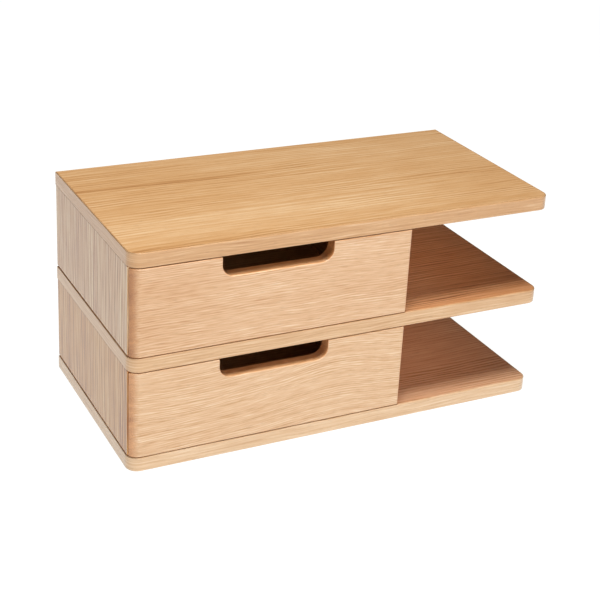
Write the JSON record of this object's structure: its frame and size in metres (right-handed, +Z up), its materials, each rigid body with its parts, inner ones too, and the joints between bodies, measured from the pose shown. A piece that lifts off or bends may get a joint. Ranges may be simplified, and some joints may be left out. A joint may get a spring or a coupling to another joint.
{
  "type": "desk letter tray",
  "caption": "Low oak desk tray: two drawers with finger notches on the left, open cantilevered shelves on the right.",
  "frame": {"origin": "centre of the rectangular footprint, on the surface that the tray stands on", "axes": "+X to the right as seen from the front, +Y to the back, +Z up; the drawers open towards -Y"},
  "size_m": [0.45, 0.225, 0.2235],
  "materials": {
    "board_oak": "matt oak veneer, straight grain from left to right",
    "edging_oak": "matt solid oak strip, grain along its length",
    "side_oak": "matt oak veneer, upright grain",
    "divider_oak": "matt oak veneer, upright grain",
    "front_oak": "matt solid oak, grain from left to right",
    "drawer_oak": "matt solid oak, grain along each wall",
    "plywood": "matt thin oak-faced plywood",
    "dowel_beech": "fluted beech dowel, unfinished"
  },
  "bodies": {
    "case": {"top_board": "board_oak", "top_edging": "edging_oak", "middle_board": "board_oak", "middle_edging": "edging_oak", "bottom_board": "board_oak", "bottom_edging": "edging_oak", "upper_left_side": "side_oak", "lower_left_side": "side_oak", "upper_divider": "divider_oak", "lower_divider": "divider_oak", "upper_back": "plywood", "lower_back": "plywood", "short_dowels": "dowel_beech", "long_dowels": "dowel_beech"},
    "upper_drawer": {"upper_drawer_front": "front_oak", "upper_drawer_left": "drawer_oak", "upper_drawer_right": "drawer_oak", "upper_drawer_rear": "drawer_oak", "upper_drawer_floor": "plywood", "upper_drawer_dowels": "dowel_beech"},
    "lower_drawer": {"lower_drawer_front": "front_oak", "lower_drawer_left": "drawer_oak", "lower_drawer_right": "drawer_oak", "lower_drawer_rear": "drawer_oak", "lower_drawer_floor": "plywood", "lower_drawer_dowels": "dowel_beech"}
  },
  "joints": [
    {"name": "upper_drawer_slide", "type": "slide", "parent": "case", "child": "upper_drawer", "axis": [0, -1, 0], "range_m": [0, 0.14]},
    {"name": "lower_drawer_slide", "type": "slide", "parent": "case", "child": "lower_drawer", "axis": [0, -1, 0], "range_m": [0, 0.14]}
  ]
}
